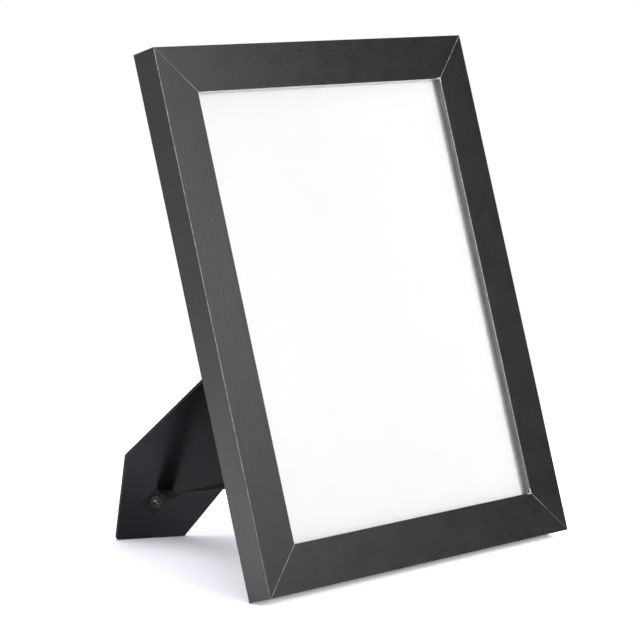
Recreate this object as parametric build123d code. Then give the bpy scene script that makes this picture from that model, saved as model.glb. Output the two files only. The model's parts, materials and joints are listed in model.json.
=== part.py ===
from build123d import *
import math
import os

# Easel back photo frame for a 10 by 8 inch picture, leaning back on its open strut.
# Millimetres and degrees. +X is right, +Y is back and +Z is up, with the origin under the middle.

# Picture and moulding
picture_width = 203.2
picture_height = 254.0
lip_cover = 6.35  # the lip covers this much of the picture's edge
face_width = 25.0
moulding_depth = 16.2
lip_thickness = 3.5
arris_radius = 0.5
rebate_play = 0.8  # room beside the glass and the boards

# Layers behind the lip, from front to back: glass, sheet, filler, easel board
glass_thickness = 2.0
sheet_air = 0.05  # between the glass and the sheet
sheet_thickness = 0.3
board_thickness = 3.0

# Corner nails, two across each mitre
nail_leg = 5.0
nail_thickness = 0.4
nail_depth = 8.0
nail_place_shares = (0.3, 0.68)  # of the moulding's back, from its outer edge

# Stance
lean_angle = 18.0
open_angle = 41.0
hinge_slant = 45.0

# Strut, with a foot corner that serves an upright and a lying picture
strut_length = 221.5  # hinge axis to foot corner
strut_thickness = 2.5
foot_edge = 40.0
side_edge = 51.1
foot_corner_angle = 87.0
outer_taper = 0.3
inner_taper = 6.5
strut_corner_radius = 1.5
strut_edge_radius = 0.4
foot_side_inset = 9.8  # folded foot corner, in from the frame's side

# Hinge
hinge_length = 30.0
leaf_reach = 18.0
leaf_thickness = 0.9
leaf_corner_radius = 2.0
barrel_radius = 2.4
barrel_room = 0.4  # barrel above the board
swing_room = 0.5  # leaf and strut end clear of the other leaf's barrel
knuckle_count = 5
knuckle_gap = 0.4
pin_play = 0.05
pin_head_thickness = 0.8

# Leaf rivets
leaf_rivet_radius = 1.2
leaf_rivet_head_radius = 2.4
leaf_rivet_head = 0.7
leaf_rivet_tail = 0.5
leaf_rivet_reach = 11.5
leaf_rivet_shares = (-0.34, 0, 0.34)  # of the hinge's length

# Ribbon stay and its two hollow rivets
ribbon_width = 10.0
ribbon_thickness = 0.35
ribbon_tail = 6.0
ribbon_lead = 6.0  # rivet to bend
ribbon_bend_radius = 2.0
ribbon_strut_inset = 31.5  # rivet on the strut, up from the foot corner
ribbon_board_inset = 63.5  # rivet on the board, up from the folded foot corner
ribbon_hole_room = 0.3
ribbon_rivet_radius = 2.4
ribbon_rivet_head_radius = 3.7
ribbon_rivet_head = 0.8
ribbon_rivet_edge = 0.35
ribbon_rivet_tail = 0.5
ribbon_rivet_bore = 1.7
ribbon_rivet_bore_depth = 1.8
fold_room = 0.65  # air over the rivet heads when the strut is folded
recess_room = 0.3  # filler clear of the rivet tails

# Turn buttons and their screws
button_hub_radius = 5.0
button_tip_radius = 3.2
button_hold = 7.0  # the tip laps the easel board by this much
button_thickness = 1.2
button_edge = 0.3
button_play = 0.05
screw_radius = 1.5
screw_play = 0.08
screw_bite = 9.0
screw_point = 2.5
screw_head_radius = 3.2
screw_head = 1.8
screw_head_edge = 0.9
screw_slot_width = 0.7
screw_slot_length = 3.8
screw_slot_depth = 0.9

overrun = 1.0  # cuts run past their faces

# Sizes that follow
frame_width = picture_width + 2 * (face_width - lip_cover)
frame_height = picture_height + 2 * (face_width - lip_cover)
rebate_width = lip_cover + rebate_play
back_width = face_width - rebate_width
rebate_depth = moulding_depth - lip_thickness
filler_thickness = rebate_depth - glass_thickness - sheet_air - sheet_thickness - board_thickness
screw_inset = back_width / 2

fold_gap = ribbon_thickness + ribbon_rivet_head + fold_room
axis_height = barrel_radius + barrel_room
strut_inner = fold_gap - axis_height
strut_outer = strut_inner + strut_thickness
strut_start = barrel_radius + swing_room
ribbon_strut_reach = strut_length - ribbon_strut_inset
ribbon_board_reach = strut_length - ribbon_board_inset
pin_radius = barrel_radius - leaf_thickness - pin_play
knuckle_pitch = hinge_length / knuckle_count

lean = math.radians(lean_angle)
opened = math.radians(open_angle)
slant = math.radians(hinge_slant)

# The hinge sits where the open strut's rounded foot comes level with the frame's lower back edge
foot_drop = strut_length * math.cos(opened) - strut_inner * math.sin(opened)
foot_back = axis_height + strut_length * math.sin(opened) + strut_inner * math.cos(opened)
foot_tip = math.asin(math.cos(slant) * math.cos(lean) * math.sin(opened) - math.sin(lean) * math.cos(opened))
foot_lift = strut_edge_radius * (math.sin(foot_tip) + math.cos(foot_tip) - 1)
hinge_rise = foot_drop * math.cos(slant) + foot_back * math.tan(lean) - foot_lift / math.cos(lean)
hinge_x = strut_length * math.sin(slant) + foot_side_inset - frame_width / 2
hinge_z = hinge_rise - frame_height / 2

# Upright frame: front face in the XZ plane, centre at the origin.
# Each side is a bottom side turned about the Y axis, at half the frame's size across it.
rail = ("rail", frame_width, frame_height / 2)
stile = ("stile", frame_height, frame_width / 2)
sides = {"bottom": rail, "left": stile, "top": rail, "right": stile}
side_angles = {"bottom": 0, "left": 90, "top": 180, "right": 270}

# Hinge frame: X along the pin to the lower right, Y down the folded strut, Z out of the back
hinge_place = Plane(
    origin=(hinge_x, moulding_depth + axis_height, hinge_z),
    x_dir=(math.cos(slant), 0, -math.sin(slant)),
    z_dir=(0, 1, 0),
).location
open_turn = Rot(open_angle, 0, 0)


def on_side(side, piece):
    kind, length, half = sides[side]
    return Rot(0, side_angles[side], 0) * Pos(0, 0, -half) * piece


# Moulding with its rebate, cut to a mitre at both ends
def moulding(length):
    profile = make_face(
        Polyline(
            (0, 0),
            (0, face_width),
            (lip_thickness, face_width),
            (lip_thickness, back_width),
            (moulding_depth, back_width),
            (moulding_depth, 0),
            close=True,
        )
    )
    profile = fillet(profile.vertices().group_by(Axis.X)[0], arris_radius)
    bar = extrude(Plane.YZ * profile, amount=length / 2, both=True)
    low = length / 2 + overrun
    high = length / 2 - face_width - overrun
    mitre = make_face(
        Polyline(
            (-low, -overrun),
            (low, -overrun),
            (high, face_width + overrun),
            (-high, face_width + overrun),
            close=True,
        )
    )
    return bar & extrude(Plane.XZ * mitre, amount=moulding_depth + overrun, both=True)


# Bent steel nail across a mitre, one leg in each moulding
def corner_nail(right, up, place_share):
    inset = place_share * back_width
    shift = (nail_leg - nail_thickness) / 2
    legs = Pos(-right * shift, 0, 0) * Box(nail_leg, nail_depth, nail_thickness)
    legs += Pos(0, 0, -up * shift) * Box(nail_thickness, nail_depth, nail_leg)
    corner_x = right * (frame_width / 2 - inset)
    corner_z = up * (frame_height / 2 - inset)
    return Pos(corner_x, moulding_depth - nail_depth / 2, corner_z) * legs


# Flat layer in the rebate, from a depth behind the front face
def layer(depth, thickness):
    return Pos(0, depth + thickness / 2, 0) * Box(picture_width, thickness, picture_height)


# Solid rivet along Z, with its head's underside at zero
def leaf_rivet(grip):
    head = Pos(0, 0, leaf_rivet_head / 2) * Cylinder(leaf_rivet_head_radius, leaf_rivet_head)
    head = fillet(head.edges().group_by(Axis.Z)[-1], leaf_rivet_head / 2)
    shank = Pos(0, 0, -grip / 2) * Cylinder(leaf_rivet_radius, grip)
    tail = Pos(0, 0, -grip - leaf_rivet_tail / 2) * Cylinder(leaf_rivet_head_radius, leaf_rivet_tail)
    return head + shank + tail


# Hollow rivet along Z, with its head's underside at zero and its bore open at the head
def ribbon_rivet(grip):
    head = Pos(0, 0, ribbon_rivet_head / 2) * Cylinder(ribbon_rivet_head_radius, ribbon_rivet_head)
    head = fillet(head.edges().group_by(Axis.Z)[-1], ribbon_rivet_edge)
    shank = Pos(0, 0, -grip / 2) * Cylinder(ribbon_rivet_radius, grip)
    tail_middle = -grip - ribbon_rivet_tail / 2
    tail = Pos(0, 0, tail_middle) * Cylinder(ribbon_rivet_head_radius, ribbon_rivet_tail)
    bore_middle = ribbon_rivet_head - ribbon_rivet_bore_depth / 2
    bore = Pos(0, 0, bore_middle) * Cylinder(ribbon_rivet_bore, ribbon_rivet_bore_depth)
    body = head + shank + tail - bore
    rim = body.edges().filter_by(GeomType.CIRCLE).group_by(Axis.Z)[-1].sort_by(SortBy.RADIUS)[0]
    return chamfer(rim, ribbon_rivet_edge)


# Hinge leaf along Y: plate height, its direction from the pin, its knuckles and their bore
def hinge_leaf(plate_low, direction, knuckles, bore_radius):
    plate = Box(hinge_length, leaf_reach, leaf_thickness)
    far_corners = plate.edges().filter_by(Axis.Z).group_by(Axis.Y)[-1 if direction > 0 else 0]
    plate = fillet(far_corners, leaf_corner_radius)
    plate = Pos(0, direction * leaf_reach / 2, plate_low + leaf_thickness / 2) * plate
    along_pin = Rot(0, 90, 0)
    for number in range(knuckle_count):
        middle = Pos((number + 0.5) * knuckle_pitch - hinge_length / 2, 0, 0) * along_pin
        if number in knuckles:
            plate += middle * Cylinder(barrel_radius, knuckle_pitch - knuckle_gap)
        else:
            plate -= middle * Cylinder(barrel_radius + swing_room, knuckle_pitch + knuckle_gap)
    return plate - along_pin * Cylinder(bore_radius, hinge_length + overrun)


# Pin with a peened head at each end
def hinge_pin():
    pin = Cylinder(pin_radius, hinge_length)
    for end in (-1, 1):
        head = Cylinder(barrel_radius, pin_head_thickness)
        pin += Pos(0, 0, end * (hinge_length + pin_head_thickness) / 2) * head
    return Rot(0, 90, 0) * pin


# Strut outline in the hinge frame: the foot edge lies level once the strut is open
level_run = (math.cos(slant) * math.cos(opened) + math.sin(opened) * math.tan(lean)) / math.sin(slant)
foot_angle = math.degrees(math.atan2(-1, level_run))
foot_corner = Vector(0, strut_length)
foot_end = foot_corner + Vector(foot_edge, 0).rotate(Axis.Z, foot_angle)
side_end = foot_corner + Vector(side_edge, 0).rotate(Axis.Z, foot_angle - foot_corner_angle)
outer_start = side_end.X + (side_end.Y - strut_start) * math.tan(math.radians(outer_taper))
inner_start = foot_end.X - (foot_end.Y - strut_start) * math.tan(math.radians(inner_taper))
hinge_middle = Pos((outer_start + inner_start) / 2, 0, 0)


def strut_panel():
    outline = FilletPolyline(
        (outer_start, strut_start),
        (inner_start, strut_start),
        foot_end,
        foot_corner,
        side_end,
        radius=strut_corner_radius,
        close=True,
    )
    panel = extrude(make_face(outline), amount=strut_thickness)
    levels = panel.edges().group_by(Axis.Z)
    panel = fillet(levels[0] + levels[-1], strut_edge_radius)
    return Pos(0, 0, strut_inner) * panel


# Ribbon in the plane square to the pin: flat under both rivets, straight between
def on_open_strut(reach, height):
    return Vector(reach, height).rotate(Axis.Z, open_angle)


ribbon_strut_height = strut_inner - ribbon_thickness / 2
ribbon_board_height = ribbon_thickness / 2 - axis_height


def ribbon_strip():
    path = FilletPolyline(
        on_open_strut(ribbon_strut_reach + ribbon_tail, ribbon_strut_height),
        on_open_strut(ribbon_strut_reach - ribbon_lead, ribbon_strut_height),
        (ribbon_board_reach - ribbon_lead, ribbon_board_height),
        (ribbon_board_reach + ribbon_tail, ribbon_board_height),
        radius=ribbon_bend_radius,
    )
    strip = trace(path, line_width=ribbon_thickness)
    return extrude(Plane.YZ * strip, amount=ribbon_width / 2, both=True)


# Turn button on a side's back face, pointing in over the easel board
def turn_button():
    board_edge = back_width + rebate_play
    tip = board_edge + button_hold - button_tip_radius - screw_inset
    hub_edge = Circle(button_hub_radius).edges()
    tip_edge = (Pos(0, tip) * Circle(button_tip_radius)).edges()
    blank = extrude(make_hull(hub_edge + tip_edge), amount=button_thickness)
    blank = fillet(blank.edges().group_by(Axis.Z)[-1], button_edge)
    bore = Cylinder(screw_radius + screw_play, 2 * (button_thickness + overrun))
    return button_place * (blank - bore)


# Round-headed wood screw with a cross slot
def button_screw():
    seat = button_thickness + button_play
    bite = seat + button_play + screw_bite
    head = Pos(0, 0, seat + screw_head / 2) * Cylinder(screw_head_radius, screw_head)
    head = fillet(head.edges().group_by(Axis.Z)[-1], screw_head_edge)
    slot_height = seat + screw_head - screw_slot_depth / 2
    for turn in (0, 90):
        slot = Box(screw_slot_length, screw_slot_width, screw_slot_depth)
        head -= Pos(0, 0, slot_height) * Rot(0, 0, turn) * slot
    shank = Pos(0, 0, seat - bite / 2) * Cylinder(screw_radius, bite)
    point_middle = seat - bite - screw_point / 2
    point = Pos(0, 0, point_middle) * Cone(0, screw_radius, screw_point)
    return button_place * (head + shank + point)


# Button frame: X to the right, Y up along the back face, Z out of the back
button_place = Plane(
    origin=(0, moulding_depth + button_play, screw_inset),
    x_dir=(-1, 0, 0),
    z_dir=(0, 1, 0),
).location

# Rivets and what they pass through, in the hinge frame
leaf_rivet_spots = [(share * hinge_length, leaf_rivet_reach) for share in leaf_rivet_shares]
board_leaf_top = leaf_thickness - axis_height
strut_leaf_top = leaf_thickness + strut_outer
board_leaf_grip = leaf_thickness + board_thickness
strut_leaf_grip = leaf_thickness + strut_thickness

board_leaf_rivets = [
    hinge_middle * Pos(x, -y, board_leaf_top) * leaf_rivet(board_leaf_grip) for x, y in leaf_rivet_spots
]
strut_leaf_rivets = [
    hinge_middle * Pos(x, y, strut_leaf_top) * leaf_rivet(strut_leaf_grip) for x, y in leaf_rivet_spots
]
board_ribbon_rivet = ribbon_rivet(ribbon_thickness + board_thickness)
board_ribbon_rivet = Pos(0, ribbon_board_reach, ribbon_thickness - axis_height) * board_ribbon_rivet
strut_ribbon_rivet = Rot(180, 0, 0) * ribbon_rivet(ribbon_thickness + strut_thickness)
strut_ribbon_rivet = Pos(0, ribbon_strut_reach, strut_inner - ribbon_thickness) * strut_ribbon_rivet

board_knuckles = range(0, knuckle_count, 2)
strut_knuckles = range(1, knuckle_count, 2)
board_leaf = hinge_middle * hinge_leaf(-axis_height, -1, board_knuckles, pin_radius)
strut_leaf = hinge_middle * hinge_leaf(strut_outer, 1, strut_knuckles, pin_radius + pin_play)

strut_middle = strut_inner + strut_thickness / 2
board_middle = -axis_height - board_thickness / 2
strut_ribbon_hole = Cylinder(ribbon_rivet_radius, strut_thickness + overrun)
strut_ribbon_hole = Pos(0, ribbon_strut_reach, strut_middle) * strut_ribbon_hole
board_ribbon_hole = Cylinder(ribbon_rivet_radius, board_thickness + overrun)
board_ribbon_hole = Pos(0, ribbon_board_reach, board_middle) * board_ribbon_hole

ribbon_hole = Cylinder(ribbon_rivet_radius + ribbon_hole_room, 2 * (ribbon_thickness + overrun))
ribbon = ribbon_strip()
ribbon -= Pos(0, ribbon_board_reach, -axis_height) * ribbon_hole
ribbon -= open_turn * Pos(0, ribbon_strut_reach, strut_inner) * ribbon_hole

# Recesses in the filler, over the rivet tails on the easel board's inner face
board_inner = -axis_height - board_thickness
leaf_recess = Cylinder(leaf_rivet_head_radius + recess_room, 2 * (leaf_rivet_tail + recess_room))
ribbon_recess = Cylinder(ribbon_rivet_head_radius + recess_room, 2 * (ribbon_rivet_tail + recess_room))
recesses = [hinge_middle * Pos(x, -y, board_inner) * leaf_recess for x, y in leaf_rivet_spots]
recesses.append(Pos(0, ribbon_board_reach, board_inner) * ribbon_recess)

# Nodes of the upright frame
nails = [
    corner_nail(right, up, place_share)
    for right in (-1, 1)
    for up in (-1, 1)
    for place_share in nail_place_shares
]
screws = [on_side(side, button_screw()) for side in sides]

sheet_depth = lip_thickness + glass_thickness + sheet_air
filler_depth = sheet_depth + sheet_thickness
board_depth = filler_depth + filler_thickness

nodes = {}
for side, (kind, length, half) in sides.items():
    nodes[f"{side}_{kind}"] = on_side(side, moulding(length)) - nails - screws
    nodes[f"{side}_turn_button"] = on_side(side, turn_button())
nodes["corner_nails"] = Compound(nails)
nodes["turn_button_screws"] = Compound(screws)
nodes["glass_pane"] = layer(lip_thickness, glass_thickness)
nodes["picture_sheet"] = layer(sheet_depth, sheet_thickness)
nodes["filler_board"] = layer(filler_depth, filler_thickness) - [hinge_place * cut for cut in recesses]

# Nodes on the easel board
board_holes = [hinge_place * cut for cut in (*board_leaf_rivets, board_ribbon_hole)]
nodes["easel_board"] = layer(board_depth, board_thickness) - board_holes
nodes["hinge_board_leaf"] = hinge_place * (board_leaf - board_leaf_rivets)
nodes["hinge_pin"] = hinge_place * hinge_middle * hinge_pin()
nodes["board_leaf_rivets"] = Compound([hinge_place * rivet for rivet in board_leaf_rivets])
nodes["ribbon_board_rivet"] = hinge_place * board_ribbon_rivet
nodes["stay_ribbon"] = hinge_place * ribbon

# Nodes on the open strut
strut_place = hinge_place * open_turn
nodes["easel_strut"] = strut_place * (strut_panel() - strut_leaf_rivets - strut_ribbon_hole)
nodes["hinge_strut_leaf"] = strut_place * (strut_leaf - strut_leaf_rivets)
nodes["strut_leaf_rivets"] = Compound([strut_place * rivet for rivet in strut_leaf_rivets])
nodes["ribbon_strut_rivet"] = strut_place * strut_ribbon_rivet

# Lean the whole frame back and put the origin under the middle of what it covers
leaning = Rot(-lean_angle, 0, 0)
covered = Compound([leaning * piece for piece in nodes.values()]).bounding_box()
stance = Pos(-covered.center().X, -covered.center().Y, -covered.min.Z) * leaning

os.makedirs("parts", exist_ok=True)
for name, piece in nodes.items():
    export_step(stance * piece, f"parts/{name}.step")
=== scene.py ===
import json
from math import atan2, pi, radians, sin

import bmesh
import bpy
from mathutils import Matrix, Quaternion, Vector


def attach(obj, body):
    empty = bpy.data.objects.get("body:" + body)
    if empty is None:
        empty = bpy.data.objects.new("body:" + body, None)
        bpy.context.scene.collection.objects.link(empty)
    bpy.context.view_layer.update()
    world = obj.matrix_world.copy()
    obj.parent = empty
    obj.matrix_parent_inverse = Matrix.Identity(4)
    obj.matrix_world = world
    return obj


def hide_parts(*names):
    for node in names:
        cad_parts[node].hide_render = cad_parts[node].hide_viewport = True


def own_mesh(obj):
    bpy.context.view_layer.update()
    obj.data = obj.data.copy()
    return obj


# Easel back photo frame: black foil moulding, glass over a blank sheet, a folding strut on a ribbon
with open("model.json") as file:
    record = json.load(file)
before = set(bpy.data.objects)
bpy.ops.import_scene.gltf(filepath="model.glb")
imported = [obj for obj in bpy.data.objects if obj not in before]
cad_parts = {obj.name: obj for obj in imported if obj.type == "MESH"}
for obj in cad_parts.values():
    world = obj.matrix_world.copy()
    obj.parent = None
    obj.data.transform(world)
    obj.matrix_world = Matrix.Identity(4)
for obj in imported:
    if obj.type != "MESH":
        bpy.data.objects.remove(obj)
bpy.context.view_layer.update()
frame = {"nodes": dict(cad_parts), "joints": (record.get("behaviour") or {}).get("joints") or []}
nodes = frame["nodes"]
joints = {joint["name"]: joint for joint in frame["joints"]}
scene = bpy.context.scene
scene.view_settings.view_transform = "Standard"
print("frame loaded with", len(nodes), "nodes")

moulding = {
    "width": 0.2405,
    "height": 0.2913,
    "face": 0.025,
    "depth": 0.0162,
}

# the leaning frame's own axes: across is X, depth runs into the back, up runs along the stiles
backNormal = Vector(joints["top_button_swivel"]["axis"]).normalized()
leanAngle = atan2(-backNormal.z, backNormal.y)
sideButtons = [Vector(joints[f"{side}_button_swivel"]["pos_m"]) for side in ("left", "right")]
frontCentre = (sideButtons[0] + sideButtons[1]) / 2 - backNormal * moulding["depth"]

# the open strut's own axes, from its hinge
hinge = joints["strut_fold"]
hingePoint = Vector(hinge["pos_m"])
pinAxis = Vector(hinge["axis"]).normalized()
boardAlong = backNormal.cross(pinAxis)
opening = Quaternion(pinAxis, -radians(hinge["range_deg"][0]))
strutAlong, strutNormal = opening @ boardAlong, opening @ backNormal

# camera where the photograph was taken from
camera = {
    "place": (-1.13864, -1.05300, 0.21925),  # this and the target are from the front face's middle
    "target": (-0.02023, 0.01871, -0.01123),
    "roll": radians(0.81),
    "lens": 161.93,
    "sensor": 36,
    "clip": (0.05, 50),
}


def makeCamera():
    data = bpy.data.cameras.new("photoCamera")
    data.sensor_width = camera["sensor"]
    data.lens = camera["lens"]
    data.clip_start, data.clip_end = camera["clip"]
    view = bpy.data.objects.new("photoCamera", data)
    scene.collection.objects.link(view)
    place, target = Vector(camera["place"]), Vector(camera["target"])
    aim = (target - place).to_track_quat("-Z", "Y")
    view.location = frontCentre + place
    view.rotation_mode = "QUATERNION"
    view.rotation_quaternion = aim @ Quaternion((0, 0, 1), camera["roll"])
    scene.camera = view


makeCamera()


# short ways to write shader nodes
def feed(tree, socket, value):
    if isinstance(value, bpy.types.NodeSocket):
        tree.links.new(value, socket)
    else:
        socket.default_value = value


def addNode(tree, kind, inputs=None, **settings):
    node = tree.nodes.new("ShaderNode" + kind)
    for name, value in settings.items():
        setattr(node, name, value)
    for name, value in (inputs or {}).items():
        feed(tree, node.inputs[name], value)
    return node


def calc(tree, operation, first, second=0.0):
    return addNode(tree, "Math", {0: first, 1: second}, operation=operation).outputs[0]


def vectorCalc(tree, operation, first, second=(0, 0, 0)):
    return addNode(tree, "VectorMath", {0: first, 1: second}, operation=operation).outputs


def fade(tree, value, low, high, start=0.0, end=1.0):  # smooth step from start at low to end at high
    inputs = {"Value": value, "From Min": low, "From Max": high, "To Min": start, "To Max": end}
    return addNode(tree, "MapRange", inputs, interpolation_type="SMOOTHSTEP").outputs[0]


def noise(tree, vector, scale, detail=4.0, roughness=0.55):
    inputs = {"Vector": vector, "Scale": scale, "Detail": detail, "Roughness": roughness}
    return addNode(tree, "TexNoise", inputs).outputs[0]


def cloud(tree, vector, spread=(0.3, 0.7), ends=(0, 1), **pattern):  # noise, faded over its spread
    return fade(tree, noise(tree, vector, **pattern), *spread, *ends)


def stretched(tree, vector, scale):
    return addNode(tree, "Mapping", {"Vector": vector, "Scale": scale}).outputs[0]


def mixColour(tree, factor, first, second):
    return addNode(tree, "Mix", {0: factor, 6: first, 7: second}, data_type="RGBA").outputs[2]


def mixShader(tree, factor, first, second):
    return addNode(tree, "MixShader", {0: factor, 1: first, 2: second}).outputs[0]


def bump(tree, height, distance, strength):
    inputs = {"Height": height, "Distance": distance, "Strength": strength}
    return addNode(tree, "Bump", inputs).outputs[0]


def coat(tree, skin, looks):
    for socket, value in looks.items():
        feed(tree, skin.inputs[socket], value)


def startMaterial(name, surface):
    material = bpy.data.materials.new(name)
    material.use_nodes = True
    tree = material.node_tree
    skin = tree.nodes["Principled BSDF"]
    coat(tree, skin, surface)
    return material, tree, skin


def bareMaterial(name):  # its own shaders go straight to the output
    material, tree, skin = startMaterial(name, {})
    tree.nodes.remove(skin)
    return material, tree, tree.nodes["Material Output"].inputs["Surface"]


def objectPoint(tree):
    return addNode(tree, "TexCoord").outputs["Object"]


def framePoint(tree):  # X across, Y into the depth, Z up the leaning frame, from the front face's middle
    start = Matrix.Rotation(leanAngle, 3, "X") @ frontCentre
    inputs = {"Vector": objectPoint(tree), "Location": -start, "Rotation": (leanAngle, 0, 0)}
    return addNode(tree, "Mapping", inputs).outputs[0]


def dress(material, *names):
    for name in names:
        slots = nodes[name].data.materials
        slots.clear()
        slots.append(material)


# moulding: charcoal foil over fibreboard, pale hairlines where the mitres and edges show the core
foil = {
    "surface": {"IOR": 1.62, "Specular Tint": (1, 0.965, 1, 1)},
    "dark": (0.0155, 0.0140, 0.0155, 1),
    "light": (0.0222, 0.0202, 0.0222, 1),
    "core": (0.46, 0.45, 0.445, 1),
    "rubbed": (0.64, 0.63, 0.62, 1),
    "board": ((0.022, 0.0205, 0.0195, 1), (0.040, 0.0370, 0.0345, 1)),
    "stile": {"wear": 1, "lipPaintAndReflection": ((0.125, 0.122, 0.135, 1), (0.225, 0.220, 0.235, 1))},
    # the rails' pale lip colour is a painted reflection: the black lip's underside is given the white
    # sheet's brightness
    "rail": {"wear": 0.08, "lipPaintAndReflection": ((0.68, 0.68, 0.69, 1), (0.76, 0.76, 0.77, 1))},
    # patterns, and how they are stretched across, into the depth and along the piece
    "grain": {"scale": 12, "detail": 6, "roughness": 0.62},
    "grainStretch": (60, 60, 9),
    "grainSheen": (0.3, 0.7, 0.28, 0.38),
    "mottle": {"scale": 55, "detail": 3, "roughness": 0.5},
    "tone": (0.38, 0.62),
    "fibres": {"scale": 55, "detail": 5, "roughness": 0.7, "spread": (0.36, 0.64)},
    "fibreStretch": (30, 60, 12),
    "streaks": {"scale": 10, "detail": 4, "roughness": 0.7, "spread": (0.35, 0.65)},
    "streakStretch": (40, 200, 4),
    "mitreGaps": {"scale": 260, "detail": 3, "spread": (0.34, 0.56), "ends": (0.45, 1)},
    "flecks": {"scale": 420, "detail": 3, "roughness": 0.7, "spread": (0.36, 0.6), "ends": (0.4, 1)},
    "speckle": {"scale": 700, "detail": 3},
    "speckleShare": 0.8,
    "relief": (0.0002, 0.5),
    # fades: from one distance to another, and the values there
    "atBack": (moulding["depth"] - 0.0005, moulding["depth"] - 0.0001),
    "lipSide": (0.0001, 0.0003, 1, 0),
    "lipFront": (0.0002, 0.0005),
    "mitreLine": (0.00028 / 3, 0.00028, 1, 0),
    "mitreOuter": (0.012, 0.022, 0.35, 1),
    "mitreInner": (0.001, 0.004, 1, 0),
    "mitrePair": (-0.0001, 0.0001, 0.1, 0.9),  # top right and bottom left show more
    "arris": (0.00036, 0.0006, 1, 0),
    "arrisSlope": 2.0,  # the worn strip is wider on the side than on the face
    "wearHeight": (-0.14, -0.04),
    "wearLow": 0.45,
    "cornerReach": (0.002, 0.0035, 1, 0),
    "cornerSide": (0.08, 0.09),
    "cornerEdge": (0.0004, 0.0007, 1, 0),
    "backSheen": 0.52,
    "lipSheen": 0.16,
}


def foilMaterial(name, acrossAxis, wear, lipPaintAndReflection):
    material, tree, skin = startMaterial(name, foil["surface"])
    point = framePoint(tree)
    axes = addNode(tree, "SeparateXYZ", {0: point}).outputs
    sideways = calc(tree, "ABSOLUTE", axes["X"])
    upright = calc(tree, "ABSOLUTE", axes["Z"])
    across = {"X": sideways, "Z": upright}[acrossAxis]
    half = {"X": moulding["width"], "Z": moulding["height"]}[acrossAxis] / 2
    fromOuter = calc(tree, "SUBTRACT", half, across)
    fromInner = calc(tree, "ABSOLUTE", calc(tree, "SUBTRACT", moulding["face"], fromOuter))

    def lengthwise(stretch):
        return stretched(tree, point, stretch if acrossAxis == "X" else stretch[::-1])

    # printed grain runs along the piece, with a broad mottle under it
    grain = noise(tree, lengthwise(foil["grainStretch"]), **foil["grain"])
    mottle = noise(tree, point, **foil["mottle"])
    tone = calc(tree, "MULTIPLY", calc(tree, "ADD", grain, mottle), 0.5)
    colour = mixColour(tree, fade(tree, tone, *foil["tone"]), foil["dark"], foil["light"])

    # the bare fibreboard at the back is a little browner; the lip's inner side is thinly painted on the
    # stiles, and on the rails it carries a painted reflection of the white sheet
    atBack = fade(tree, axes["Y"], *foil["atBack"])
    fibres = cloud(tree, lengthwise(foil["fibreStretch"]), **foil["fibres"])
    colour = mixColour(tree, atBack, colour, mixColour(tree, fibres, *foil["board"]))
    behindFace = fade(tree, axes["Y"], *foil["lipFront"])
    lip = calc(tree, "MULTIPLY", fade(tree, fromInner, *foil["lipSide"]), behindFace)
    streaks = cloud(tree, lengthwise(foil["streakStretch"]), **foil["streaks"])
    colour = mixColour(tree, lip, colour, mixColour(tree, streaks, *lipPaintAndReflection))

    # mitre: distance from the diagonal both pieces share; two of the four joints show to their outer end
    spare = (moulding["height"] - moulding["width"]) / 2
    diagonal = calc(tree, "ADD", calc(tree, "SUBTRACT", sideways, upright), spare)
    diagonal = calc(tree, "ABSOLUTE", diagonal)
    pair = fade(tree, calc(tree, "MULTIPLY", axes["X"], axes["Z"]), *foil["mitrePair"])
    outerEnd = calc(tree, "MAXIMUM", fade(tree, fromOuter, *foil["mitreOuter"]), pair)
    patches = calc(tree, "MULTIPLY", outerEnd, cloud(tree, point, **foil["mitreGaps"]))
    patches = calc(tree, "MAXIMUM", patches, fade(tree, fromInner, *foil["mitreInner"]))
    line = calc(tree, "MULTIPLY", fade(tree, diagonal, *foil["mitreLine"]), patches)
    colour = mixColour(tree, line, colour, foil["core"])

    # arris: flecks where the foil has worn along the front edges, fewer towards the table
    fromEdge = calc(tree, "MINIMUM", fromOuter, fromInner)
    arris = calc(tree, "MAXIMUM", calc(tree, "MULTIPLY", fromEdge, foil["arrisSlope"]), axes["Y"])
    higher = fade(tree, axes["Z"], *foil["wearHeight"], foil["wearLow"] * wear, wear)
    flecks = calc(tree, "MULTIPLY", cloud(tree, point, **foil["flecks"]), higher)
    flecks = calc(tree, "MULTIPLY", fade(tree, arris, *foil["arris"]), flecks)

    # the right inner corners are bare at their tips
    tip = fade(tree, calc(tree, "MAXIMUM", fromInner, axes["Y"]), *foil["cornerEdge"])
    rightSide = fade(tree, axes["X"], *foil["cornerSide"])
    bareCorner = calc(tree, "MULTIPLY", fade(tree, diagonal, *foil["cornerReach"]), rightSide)
    worn = calc(tree, "MAXIMUM", flecks, calc(tree, "MULTIPLY", bareCorner, tip))

    sheen = fade(tree, atBack, 0, 1, fade(tree, grain, *foil["grainSheen"]), foil["backSheen"])
    speckle = noise(tree, point, **foil["speckle"])
    fine = calc(tree, "ADD", grain, calc(tree, "MULTIPLY", speckle, foil["speckleShare"]))
    coat(tree, skin, {
        "Base Color": mixColour(tree, worn, colour, foil["rubbed"]),
        "Roughness": fade(tree, lip, 0, 1, sheen, foil["lipSheen"]),
        "Normal": bump(tree, fine, *foil["relief"]),
    })
    return material


dress(foilMaterial("railFoil", "Z", **foil["rail"]), "top_rail", "bottom_rail")
dress(foilMaterial("stileFoil", "X", **foil["stile"]), "left_stile", "right_stile")
print("moulding dressed")


# glass: what is seen through it is bent, lamps go straight through, and only its front mirrors
pane = {
    "tint": (0.996, 0.998, 0.997, 1),
    "index": 1.5,
    "polish": 0.01,
}


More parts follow.
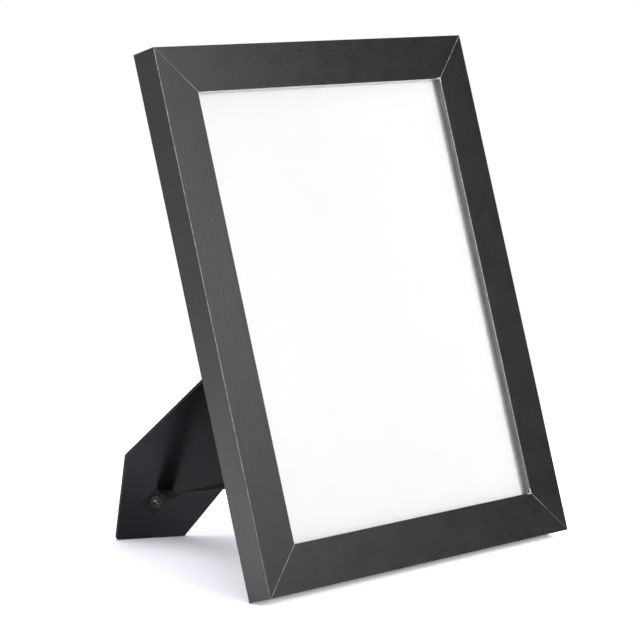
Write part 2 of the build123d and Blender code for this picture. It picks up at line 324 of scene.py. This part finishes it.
def paneMaterial():
    material, tree, surface = bareMaterial("paneGlass")
    rays = addNode(tree, "LightPath").outputs
    straight = addNode(tree, "BsdfTransparent", {"Color": pane["tint"]}).outputs[0]
    bending = {"Color": pane["tint"], "Roughness": 0.0, "IOR": pane["index"]}
    bent = addNode(tree, "BsdfRefraction", bending).outputs[0]
    seen = calc(tree, "MAXIMUM", rays["Is Camera Ray"], rays["Is Transmission Ray"])
    clear = mixShader(tree, seen, straight, bent)
    shine = addNode(tree, "BsdfGlossy", {"Color": (1, 1, 1, 1), "Roughness": pane["polish"]}).outputs[0]
    fresnel = addNode(tree, "Fresnel", {"IOR": pane["index"]}).outputs[0]
    inside = addNode(tree, "NewGeometry").outputs["Backfacing"]
    blocked = calc(tree, "MAXIMUM", rays["Is Shadow Ray"], inside)
    share = calc(tree, "MULTIPLY", fresnel, calc(tree, "SUBTRACT", 1.0, blocked))
    feed(tree, surface, mixShader(tree, share, clear, shine))
    return material


# blank sheet and the grey filler behind it: a faint tone and the tooth of paper
paper = {
    "surface": {"Roughness": 0.62, "Specular IOR Level": 0.3},
    "colours": ((0.884, 0.878, 0.870, 1), (0.894, 0.888, 0.880, 1)),
    "tone": {"scale": 90, "detail": 3},
    "tooth": {"scale": 2500, "detail": 3},
    "relief": (0.00001, 0.2),
}
filler = {
    "surface": {"Roughness": 0.85},
    "colours": ((0.42, 0.39, 0.34, 1), (0.55, 0.51, 0.45, 1)),
    "tone": {"scale": 700, "detail": 5, "roughness": 0.7},
    "tooth": {"scale": 1800, "detail": 4},
    "relief": (0.00003, 0.5),
}


def paperMaterial(name, surface, colours, tone, tooth, relief):
    material, tree, skin = startMaterial(name, surface)
    point = framePoint(tree)
    coat(tree, skin, {
        "Base Color": mixColour(tree, cloud(tree, point, **tone), *colours),
        "Normal": bump(tree, noise(tree, point, **tooth), *relief),
    })
    return material


dress(paneMaterial(), "glass_pane")
dress(paperMaterial("blankSheet", **paper), "picture_sheet")
dress(paperMaterial("greyBoard", **filler), "filler_board")
print("glass, sheet and filler dressed")


# easel: black semi-gloss paper on hardboard
easel = {
    "surface": {"IOR": 1.405, "Specular Tint": (0.93, 0.90, 1, 1)},
    "black": (0.0190, 0.0184, 0.0232, 1),
    "rubbed": (0.0240, 0.0233, 0.0284, 1),
    "edge": (0.010, 0.0095, 0.011, 1),
    # pale edge colour: partly rubbed paper, partly a painted highlight on the rounded edges
    "arris": (0.19, 0.186, 0.2, 1),
    "blotches": {"scale": 24, "spread": (0.35, 0.7)},
    "polish": {"scale": 160},
    "pebbles": {"scale": 1300, "detail": 3, "roughness": 0.6},
    "pebbleHeight": 0.00002,
    "cut": (0.5, 0.78, 1, 0),  # by how far the surface turns from the flat
    "rubAndHighlight": (0.93, 0.99, 1, 0),
    "cutSheen": 0.75,
    "strut": {"sheen": (0.20, 0.27), "pebbled": 0.06},
    "board": {"sheen": (0.34, 0.46), "pebbled": 0.5},
}


def easelMaterial(name, flat, sheen, pebbled):
    material, tree, skin = startMaterial(name, easel["surface"])
    point = framePoint(tree)
    colour = mixColour(tree, cloud(tree, point, **easel["blotches"]), easel["black"], easel["rubbed"])

    # cut edges are dull; where the paper turns over them it is rubbed pale, and painted lighter still as
    # a highlight
    turned = addNode(tree, "TexCoord").outputs["Normal"]
    facing = calc(tree, "ABSOLUTE", vectorCalc(tree, "DOT_PRODUCT", turned, flat)["Value"])
    cut = fade(tree, facing, *easel["cut"])
    rubAndHighlight = calc(tree, "MULTIPLY", fade(tree, facing, *easel["rubAndHighlight"]), calc(tree, "SUBTRACT", 1.0, cut))
    colour = mixColour(tree, cut, colour, easel["edge"])
    polish = cloud(tree, point, ends=sheen, **easel["polish"])
    coat(tree, skin, {
        "Base Color": mixColour(tree, rubAndHighlight, colour, easel["arris"]),
        "Roughness": fade(tree, cut, 0, 1, polish, easel["cutSheen"]),
        "Normal": bump(tree, noise(tree, point, **easel["pebbles"]), easel["pebbleHeight"], pebbled),
    })
    return material


dress(easelMaterial("strutPaper", strutNormal, **easel["strut"]), "easel_strut")
dress(easelMaterial("boardPaper", backNormal, **easel["board"]), "easel_board")


# metal: black lacquer on hinge and rivets, nickel on buttons and screws, bare steel nails
lacquer = {
    "surface": {"IOR": 1.5, "Metallic": 0.35},
    "wear": {"scale": 900, "detail": 5, "roughness": 0.7, "spread": (0.62, 0.74)},
    "polish": {"scale": 500, "detail": 3},
    "grit": {"scale": 2200, "detail": 3},
    "relief": (0.00001, 0.3),
    "hinge": {"colours": ((0.018, 0.018, 0.019, 1), (0.10, 0.10, 0.10, 1)), "sheen": (0.32, 0.44)},
    "rivets": {"colours": ((0.014, 0.0135, 0.0145, 1), (0.16, 0.155, 0.155, 1)), "sheen": (0.2, 0.32)},
}
plate = {
    "surface": {"Metallic": 1.0},
    "stain": {"scale": 300, "detail": 4},
    "stainColour": (0.3, 0.75),
    "stainSheen": (0.25, 0.75),
    "brushed": {"scale": 900, "detail": 3, "roughness": 0.6},
    "brushStretch": (1, 1, 14),
    "relief": (0.000006, 0.4),
    "buttons": {"colours": ((0.62, 0.61, 0.59, 1), (0.45, 0.44, 0.43, 1)), "sheen": (0.24, 0.39)},
    "screws": {"colours": ((0.58, 0.57, 0.55, 1), (0.36, 0.35, 0.34, 1)), "sheen": (0.28, 0.43)},
    "nails": {"colours": ((0.42, 0.42, 0.43, 1), (0.25, 0.24, 0.24, 1)), "sheen": (0.34, 0.49)},
}


def lacquerMaterial(name, colours, sheen):
    material, tree, skin = startMaterial(name, lacquer["surface"])
    point = objectPoint(tree)
    coat(tree, skin, {
        "Base Color": mixColour(tree, cloud(tree, point, **lacquer["wear"]), *colours),
        "Roughness": cloud(tree, point, ends=sheen, **lacquer["polish"]),
        "Normal": bump(tree, noise(tree, point, **lacquer["grit"]), *lacquer["relief"]),
    })
    return material


def platedMaterial(name, colours, sheen):
    material, tree, skin = startMaterial(name, plate["surface"])
    point = framePoint(tree)
    stain = noise(tree, point, **plate["stain"])
    brushed = noise(tree, stretched(tree, point, plate["brushStretch"]), **plate["brushed"])
    coat(tree, skin, {
        "Base Color": mixColour(tree, fade(tree, stain, *plate["stainColour"]), *colours),
        "Roughness": fade(tree, stain, *plate["stainSheen"], *sheen),
        "Normal": bump(tree, brushed, *plate["relief"]),
    })
    return material


hingeBlack = lacquerMaterial("hingeLacquer", **lacquer["hinge"])
rivetBlack = lacquerMaterial("rivetLacquer", **lacquer["rivets"])
buttonNickel = platedMaterial("buttonNickel", **plate["buttons"])
dress(hingeBlack, "hinge_board_leaf", "hinge_strut_leaf", "hinge_pin")
dress(rivetBlack, "board_leaf_rivets", "strut_leaf_rivets")
dress(buttonNickel, *(f"{side}_turn_button" for side in ("top", "bottom", "left", "right")))
dress(platedMaterial("screwNickel", **plate["screws"]), "turn_button_screws")
dress(platedMaterial("nailSteel", **plate["nails"]), "corner_nails")
print("strut, hinge and fittings dressed")


# ribbon: riveted flat to the strut and to the board, taut and twisted in between
ribbon = {
    "width": 0.010,
    "thickness": 0.00035,
    "strutRivet": 0.190,  # hinge pin to rivet
    "boardRivet": 0.158,
    "tail": 0.006,
    "lead": 0.006,
    "bend": 0.003,
    "strutFace": -0.0010,  # strut's inner face from the pin
    "boardFace": -0.0028,
    "hole": {"radius1": 0.0027, "radius2": 0.0027, "depth": 0.004, "segments": 40},
    "twist": radians(60),
    "twistLean": 0.8,  # under 1 puts the most twist nearer the strut
    "cup": 0.00035,
    "foldKeep": 0.006,
    "lineSteps": 60,
    "strutRows": 150,
    "boardRows": 110,
    "columns": 8,
}


def onBoard(reach):
    return hingePoint + boardAlong * reach + backNormal * (ribbon["boardFace"] + ribbon["thickness"] / 2)


def onStrut(reach):
    return hingePoint + strutAlong * reach + strutNormal * (ribbon["strutFace"] - ribbon["thickness"] / 2)


# hollow rivets: black heads worn at the rim, bare steel in the bore
rivet = {
    "surface": {"IOR": 1.5},
    "black": (0.012, 0.0115, 0.013, 1),
    "steel": (0.66, 0.65, 0.64, 1),
    "bore": (0.0018, 0.0020, 0.9, 0),  # fades by the distance from its axis
    "rim": (0.0029, 0.0033, 0, 0.3),
    "patches": {"scale": 420, "detail": 3, "roughness": 0.6, "spread": (0.46, 0.6)},
    "sheen": (0.2, 0.34),
}


def rivetMaterial(name, centre, axis):
    material, tree, skin = startMaterial(name, rivet["surface"])
    point = objectPoint(tree)
    arm = vectorCalc(tree, "SUBTRACT", point, centre)["Vector"]
    turned = vectorCalc(tree, "CROSS_PRODUCT", arm, axis)["Vector"]
    radius = vectorCalc(tree, "LENGTH", turned)["Value"]
    bare = calc(tree, "MAXIMUM", fade(tree, radius, *rivet["bore"]), fade(tree, radius, *rivet["rim"]))
    steel = calc(tree, "MULTIPLY", cloud(tree, point, **rivet["patches"]), bare)
    coat(tree, skin, {
        "Base Color": mixColour(tree, steel, rivet["black"], rivet["steel"]),
        "Metallic": steel,
        "Roughness": cloud(tree, point, ends=rivet["sheen"], **lacquer["polish"]),
        "Normal": bump(tree, noise(tree, point, **lacquer["grit"]), *lacquer["relief"]),
    })
    return material


dress(rivetMaterial("strutRivet", onStrut(ribbon["strutRivet"]), strutNormal), "ribbon_strut_rivet")
dress(rivetMaterial("boardRivet", onBoard(ribbon["boardRivet"]), backNormal), "ribbon_board_rivet")


def finalMesh(holder):
    bpy.context.view_layer.update()
    return bpy.data.meshes.new_from_object(holder.evaluated_get(bpy.context.evaluated_depsgraph_get()))


# the ribbon's middle line, from its tail on the strut to its tail on the board
strutBend = onStrut(ribbon["strutRivet"] - ribbon["lead"])
boardBend = onBoard(ribbon["boardRivet"] - ribbon["lead"])


def ribbonLine():
    run = (boardBend - strutBend).normalized() * ribbon["bend"]
    points = [
        onStrut(ribbon["strutRivet"] + ribbon["tail"]),
        strutBend + strutAlong * ribbon["bend"],
        strutBend,
        strutBend + run,
        boardBend - run,
        boardBend,
        boardBend + boardAlong * ribbon["bend"],
        onBoard(ribbon["boardRivet"] + ribbon["tail"]),
    ]
    curve = bpy.data.curves.new("ribbonLine", "CURVE")
    curve.dimensions = "3D"
    curve.resolution_u = ribbon["lineSteps"]
    spline = curve.splines.new("NURBS")
    spline.points.add(len(points) - 1)
    for knot, point in zip(spline.points, points):
        knot.co = (*point, 1)
    spline.order_u = 3
    spline.use_endpoint_u = True
    holder = bpy.data.objects.new("ribbonLine", curve)
    scene.collection.objects.link(holder)
    mesh = finalMesh(holder)
    line = [vertex.co.copy() for vertex in mesh.vertices]
    bpy.data.objects.remove(holder)
    bpy.data.meshes.remove(mesh)
    return line


def lengthsAlong(points):
    total = [0.0]
    for before, after in zip(points, points[1:]):
        total.append(total[-1] + (after - before).length)
    return total


ribbonPoints = ribbonLine()
ribbonLengths = lengthsAlong(ribbonPoints)
print("ribbon line has", len(ribbonPoints), "points")


def ribbonAt(distance):  # point and direction on the line
    last = len(ribbonPoints) - 2
    for index in range(last + 1):
        if ribbonLengths[index + 1] >= distance or index == last:
            before, after = ribbonPoints[index], ribbonPoints[index + 1]
            share = (distance - ribbonLengths[index]) / (ribbonLengths[index + 1] - ribbonLengths[index])
            return before.lerp(after, share), (after - before).normalized()


def ribbonPlace(distance, across):
    point, along = ribbonAt(distance)
    run = boardBend - strutBend
    share = min(max((point - strutBend).dot(run) / run.length_squared, 0), 1)
    turn = Quaternion(along, ribbon["twist"] * sin(pi * share ** ribbon["twistLean"]))
    aside = turn @ pinAxis
    crown = ribbon["cup"] * sin(pi * share) * (1 - (2 * across) ** 2)
    return point + aside * (across * ribbon["width"]) + along.cross(aside) * crown


def rivetHole(holder, centre, direction):  # cuts the hole that the rivet's shank goes through
    mesh = bpy.data.meshes.new("rivetHole")
    cutter = bmesh.new()
    bmesh.ops.create_cone(cutter, cap_ends=True, **ribbon["hole"])
    place = Matrix.Translation(centre) @ direction.to_track_quat("Z", "Y").to_matrix().to_4x4()
    bmesh.ops.transform(cutter, matrix=place, verts=cutter.verts)
    cutter.to_mesh(mesh)
    cutter.free()
    tool = bpy.data.objects.new("rivetHole", mesh)
    scene.collection.objects.link(tool)
    cut = holder.modifiers.new("hole", "BOOLEAN")
    cut.object, cut.operation, cut.solver = tool, "DIFFERENCE", "EXACT"
    done = finalMesh(holder)
    holder.modifiers.clear()
    holder.data = done
    bpy.data.objects.remove(tool)


def ribbonHalf(name, start, end, rows):
    bm = bmesh.new()
    layer = bm.loops.layers.uv.new("weave")
    bmesh.ops.create_grid(bm, x_segments=rows, y_segments=ribbon["columns"], size=0.5, calc_uvs=True)
    for vertex in bm.verts:
        distance = start + (vertex.co.x + 0.5) * (end - start)
        vertex.co = ribbonPlace(distance, vertex.co.y)
    for face in bm.faces:
        for loop in face.loops:
            u, v = loop[layer].uv
            loop[layer].uv = (start + u * (end - start), v * ribbon["width"])
    bmesh.ops.solidify(bm, geom=bm.faces[:], thickness=ribbon["thickness"])
    bmesh.ops.recalc_face_normals(bm, faces=bm.faces)
    for face in bm.faces:
        face.smooth = True
    mesh = bpy.data.meshes.new(name)
    bm.to_mesh(mesh)
    bm.free()
    piece = bpy.data.objects.new(name, mesh)
    scene.collection.objects.link(piece)
    return piece


# satin weave: fine ribs across, a close-woven edge down both sides; the free length away from the strut
# is painted paler, a painted sheen
satin = {
    "surface": {"Roughness": 0.36, "IOR": 1.4, "Specular Tint": (0.92, 0.88, 1, 1)},
    "black": ((0.0030, 0.0028, 0.0032, 1), (0.0085, 0.0080, 0.0088, 1)),
    # paler colours for the free length: a painted sheen
    "paintedSheen": ((0.036, 0.030, 0.033, 1), (0.080, 0.068, 0.072, 1)),
    "sheenReach": (0.016, 0.045),
    "rib": 0.00045,
    "warp": 0.00035,
    "selvedge": (ribbon["width"] * 0.41, ribbon["width"] * 0.44),
    "selvedgeShare": 0.4,
    "relief": (0.00004, 0.6),
}


def satinMaterial():
    material, tree, skin = startMaterial("ribbonSatin", satin["surface"])
    weave = addNode(tree, "UVMap", uv_map="weave").outputs[0]
    axes = addNode(tree, "SeparateXYZ", {0: weave}).outputs
    ribs = calc(tree, "SINE", calc(tree, "MULTIPLY", axes["X"], 2 * pi / satin["rib"]))
    warps = calc(tree, "SINE", calc(tree, "MULTIPLY", axes["Y"], 2 * pi / satin["warp"]))
    cloth = calc(tree, "MULTIPLY", ribs, warps)
    middle = calc(tree, "ABSOLUTE", calc(tree, "SUBTRACT", axes["Y"], ribbon["width"] / 2))
    selvedge = fade(tree, middle, *satin["selvedge"])
    closer = calc(tree, "MULTIPLY", selvedge, satin["selvedgeShare"])
    tone = calc(tree, "ADD", fade(tree, cloth, -1, 1, 0, 1 - satin["selvedgeShare"]), closer)
    black, paintedSheen = (mixColour(tree, tone, *satin[look]) for look in ("black", "paintedSheen"))
    coat(tree, skin, {
        # paler away from the strut's tail: a painted sheen
        "Base Color": mixColour(tree, fade(tree, axes["X"], *satin["sheenReach"]), black, paintedSheen),
        "Normal": bump(tree, calc(tree, "ADD", cloth, selvedge), *satin["relief"]),
    })
    return material


def meetingLength():  # where both halves come together again once the strut is folded
    for length, point in zip(ribbonLengths, ribbonPoints):
        if (point - hingePoint).dot(strutAlong - boardAlong) <= 0:
            return length


def makeRibbon():
    whole = ribbonLengths[-1]
    meeting = meetingLength()
    strutHalf = ribbonHalf("ribbon_strut_half", 0, meeting, ribbon["strutRows"])
    boardHalf = ribbonHalf("ribbon_board_half", meeting, whole, ribbon["boardRows"])
    rivetHole(strutHalf, onStrut(ribbon["strutRivet"]), strutNormal)
    rivetHole(boardHalf, onBoard(ribbon["boardRivet"]), backNormal)
    cloth = satinMaterial()
    halves = (
        (strutHalf, "strut", strutNormal, strutBend, meeting, "easel_strut"),
        (boardHalf, "frame", backNormal, boardBend, whole - meeting, "easel_board"),
    )
    for half, body, normal, anchor, length, rest in halves:
        half.data.materials.clear()
        half.data.materials.append(cloth)
        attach(half, body)
        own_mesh(half)
        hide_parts("stay_ribbon")
    print("ribbon is", round(whole * 1000, 1), "mm long, halves meet at", round(meeting * 1000, 1))


makeRibbon()


# stage: white table and a pale surround, darker behind; the eye sees pure white past the shadow
stage = {
    "tableSize": (12, 12),
    "tableColour": (0.86, 0.86, 0.87, 1),
    "tableSeen": (2.5, 2.48, 2.55, 1),  # over white to the eye, so that only its shadows show
    "tableLift": 0.12,
    "whiteOut": (0.2, 0.55),
    "pool": (-0.36, 0.16, 0),  # brighter table that the left side mirrors
    "poolGlow": (0.2, 0.45, 3.2, 0.85),
    "farGlow": (0.9, 1.8, 0, 0.7),
    "foot": (-0.10, 0.08, 0),  # the table is dark in front of the strut's foot
    "footGlow": (0.03, 0.09, 0.12, 0.5),
    "fill": (0.95, 0.945, 1.0, 1),
    "fillStrength": 0.39,
    "behind": (-0.4, 0.4, 1, 0.5),
}


def makePanel(name, size, material):
    bm = bmesh.new()
    bmesh.ops.create_grid(bm, x_segments=1, y_segments=1, size=0.5)
    bmesh.ops.scale(bm, vec=(*size, 1), verts=bm.verts)
    mesh = bpy.data.meshes.new(name)
    bm.to_mesh(mesh)
    bm.free()
    mesh.materials.append(material)
    panel = bpy.data.objects.new(name, mesh)
    scene.collection.objects.link(panel)
    return panel


def makeTable():
    material, tree, surface = bareMaterial("whiteTable")
    rays = addNode(tree, "LightPath").outputs
    point = objectPoint(tree)
    distance = vectorCalc(tree, "LENGTH", point)["Value"]

    # to the eye: painted white, its shadows lifted a little, pure white farther off
    colour = mixColour(tree, rays["Is Camera Ray"], stage["tableColour"], stage["tableSeen"])
    paint = addNode(tree, "BsdfDiffuse", {"Color": colour}).outputs[0]
    strength = calc(tree, "MULTIPLY", rays["Is Camera Ray"], stage["tableLift"])
    lift = addNode(tree, "Emission", {"Color": stage["fill"], "Strength": strength}).outputs[0]
    lifted = addNode(tree, "AddShader", {0: paint, 1: lift}).outputs[0]
    white = addNode(tree, "Emission", {"Color": (1, 1, 1, 1), "Strength": 1.0}).outputs[0]
    farOff = calc(tree, "MULTIPLY", rays["Is Camera Ray"], fade(tree, distance, *stage["whiteOut"]))
    eye = mixShader(tree, farOff, lifted, white)

    # to mirrors: a glow of its own, least in front of the foot
    fromPool = vectorCalc(tree, "DISTANCE", point, stage["pool"])["Value"]
    fromFoot = vectorCalc(tree, "DISTANCE", point, stage["foot"])["Value"]
    farGlow = fade(tree, distance, *stage["farGlow"])
    glow = calc(tree, "ADD", fade(tree, fromPool, *stage["poolGlow"]), farGlow)
    near = addNode(tree, "Emission", {"Strength": glow}).outputs[0]
    mirrored = calc(tree, "MULTIPLY", rays["Is Glossy Ray"], fade(tree, fromFoot, *stage["footGlow"]))
    feed(tree, surface, mixShader(tree, mirrored, eye, near))
    table = makePanel("table", stage["tableSize"], material)


def makeWorld():
    world = bpy.data.worlds.new("studio")
    scene.world = world
    world.use_nodes = True
    tree = world.node_tree
    rays = addNode(tree, "LightPath").outputs
    fill = tree.nodes["Background"]
    coat(tree, fill, {"Color": stage["fill"], "Strength": stage["fillStrength"]})
    heading = addNode(tree, "TexCoord").outputs["Generated"]
    heading = addNode(tree, "SeparateXYZ", {0: heading}).outputs
    surround = fade(tree, heading["Y"], *stage["behind"])
    mirror = addNode(tree, "Background", {"Strength": surround}).outputs[0]
    white = addNode(tree, "Background", {"Color": (1, 1, 1, 1), "Strength": 1.0}).outputs[0]
    unseen = mixShader(tree, rays["Is Glossy Ray"], fill.outputs[0], mirror)
    clear = calc(tree, "MAXIMUM", rays["Is Camera Ray"], rays["Is Transmission Ray"])
    feed(tree, tree.nodes["World Output"].inputs["Surface"], mixShader(tree, clear, unseen, white))


# lamps that neither the eye nor a mirror sees
lamps = {
    "keyLamp": {"place": (0.65, -1.22, 0.60), "target": (0, 0, 0.12), "size": 0.55, "power": 13.5},
    "topLamp": {"place": (0, -0.1, 1.7), "target": (0, 0, 0), "size": 1.6, "power": 6.5},
}


def makeLamp(name, place, target, size, power):
    data = bpy.data.lights.new(name, "AREA")
    data.shape = "RECTANGLE"
    data.size = data.size_y = size
    data.energy = power
    lamp = bpy.data.objects.new(name, data)
    scene.collection.objects.link(lamp)
    lamp.location = place
    lamp.rotation_mode = "QUATERNION"
    lamp.rotation_quaternion = (Vector(target) - Vector(place)).to_track_quat("-Z", "Y")
    lamp.visible_camera = lamp.visible_glossy = False


# card that only mirrors see, ahead on the right: its light falls away across the moulding's sheen
card = {
    "heading": Vector((0.7138, -0.6403, 0.2835)),
    "distance": 0.5,
    "size": (1.2, 1.0),
    "across": (0.17, -0.04, 2.45, 0.06),  # fades from its bright side to its dim one
    "lower": (-0.22, 0.03, 0.14, 1),
}


def makeCard():
    material, tree, surface = bareMaterial("cardPaper")
    axes = addNode(tree, "SeparateXYZ", {0: objectPoint(tree)}).outputs
    sideways = fade(tree, axes["X"], *card["across"])
    strength = calc(tree, "MULTIPLY", sideways, fade(tree, axes["Y"], *card["lower"]))
    feed(tree, surface, addNode(tree, "Emission", {"Strength": strength}).outputs[0])
    panel = makePanel("fallOffCard", card["size"], material)
    panel.location = frontCentre + card["heading"] * card["distance"]
    panel.rotation_mode = "QUATERNION"
    panel.rotation_quaternion = (-card["heading"]).to_track_quat("Z", "Y")
    panel.visible_camera = panel.visible_diffuse = False
    panel.visible_shadow = panel.visible_transmission = False


makeTable()
makeWorld()
for lampName, lampSetting in lamps.items():
    makeLamp(lampName, **lampSetting)
makeCard()
print("stage set")
